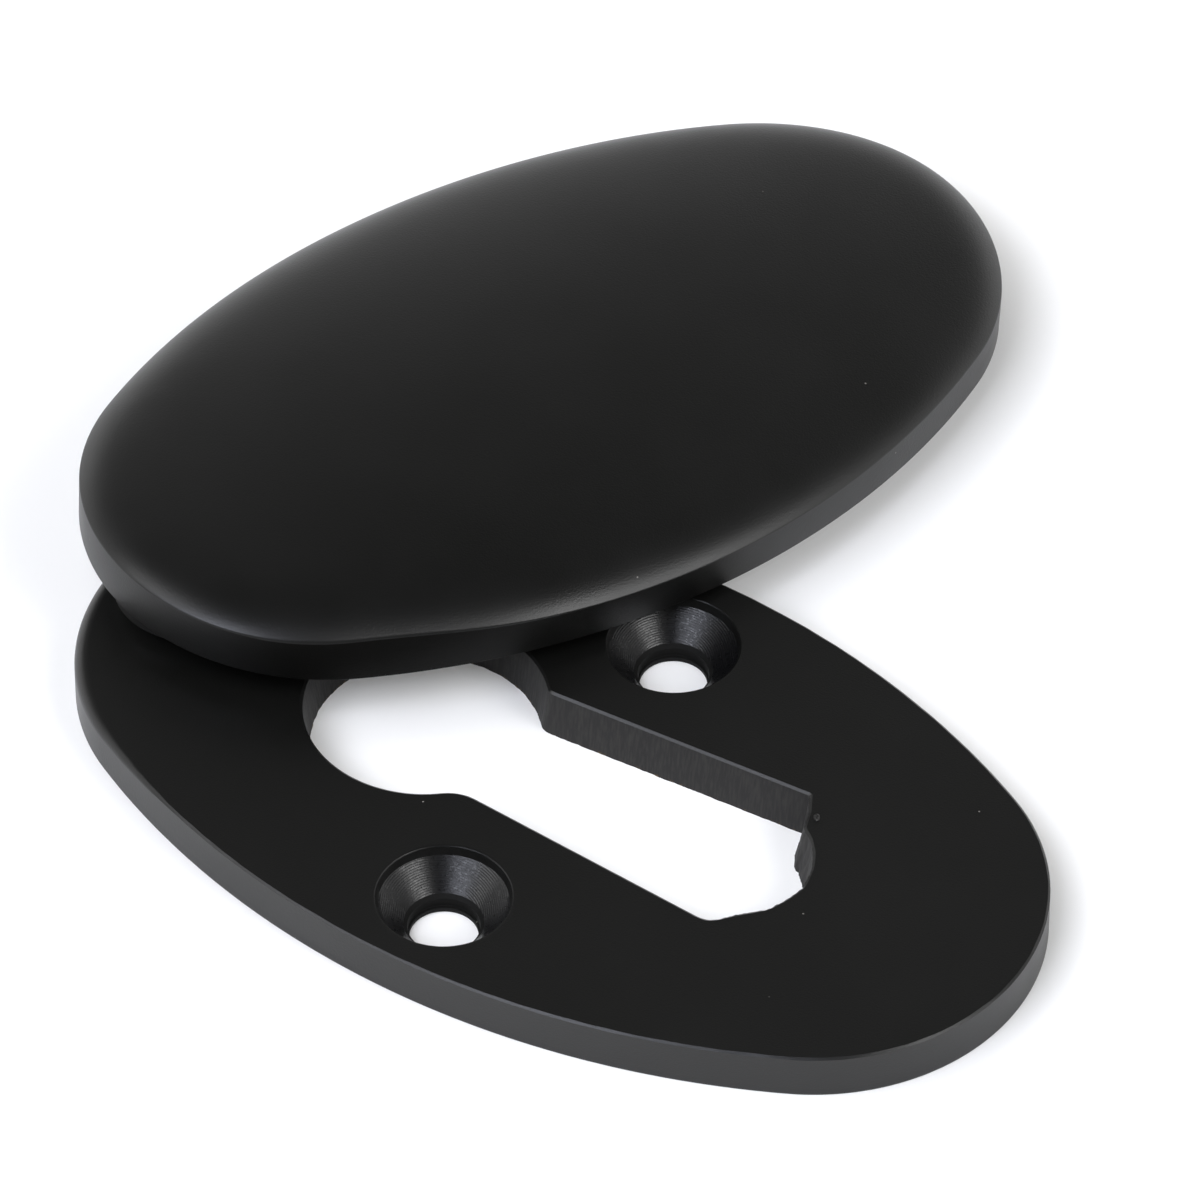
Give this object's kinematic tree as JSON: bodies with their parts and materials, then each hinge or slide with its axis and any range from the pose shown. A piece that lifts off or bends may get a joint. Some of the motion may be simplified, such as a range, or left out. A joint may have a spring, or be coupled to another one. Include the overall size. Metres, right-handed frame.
{
  "type": "covered keyhole escutcheon",
  "caption": "Oval keyhole escutcheon: flat back plate with a keyhole and countersunk screw holes, and a domed oval cover that swings on a riveted pivot.",
  "frame": {"origin": "middle of the back plate's back face, midway between the screw holes", "axes": "+Z out of the door, +Y towards the pivot end, +X to the side the cover is swung to"},
  "size_m": [0.0576, 0.0546, 0.0074],
  "materials": {
    "plate_coat": "matt black coat on a casting",
    "cover_coat": "satin black coat on a linished casting",
    "rivet_steel": "peened steel, dull"
  },
  "bodies": {
    "plate": {"back_plate": "plate_coat"},
    "cover": {"swing_cover": "cover_coat", "pivot_rivet": "rivet_steel"}
  },
  "joints": [
    {"name": "cover_swing", "type": "hinge", "parent": "plate", "child": "cover", "pos_m": [0, 0.02055, 0.00178], "axis": [0.0474, -0.0176, 0.9987], "continuous": true}
  ]
}
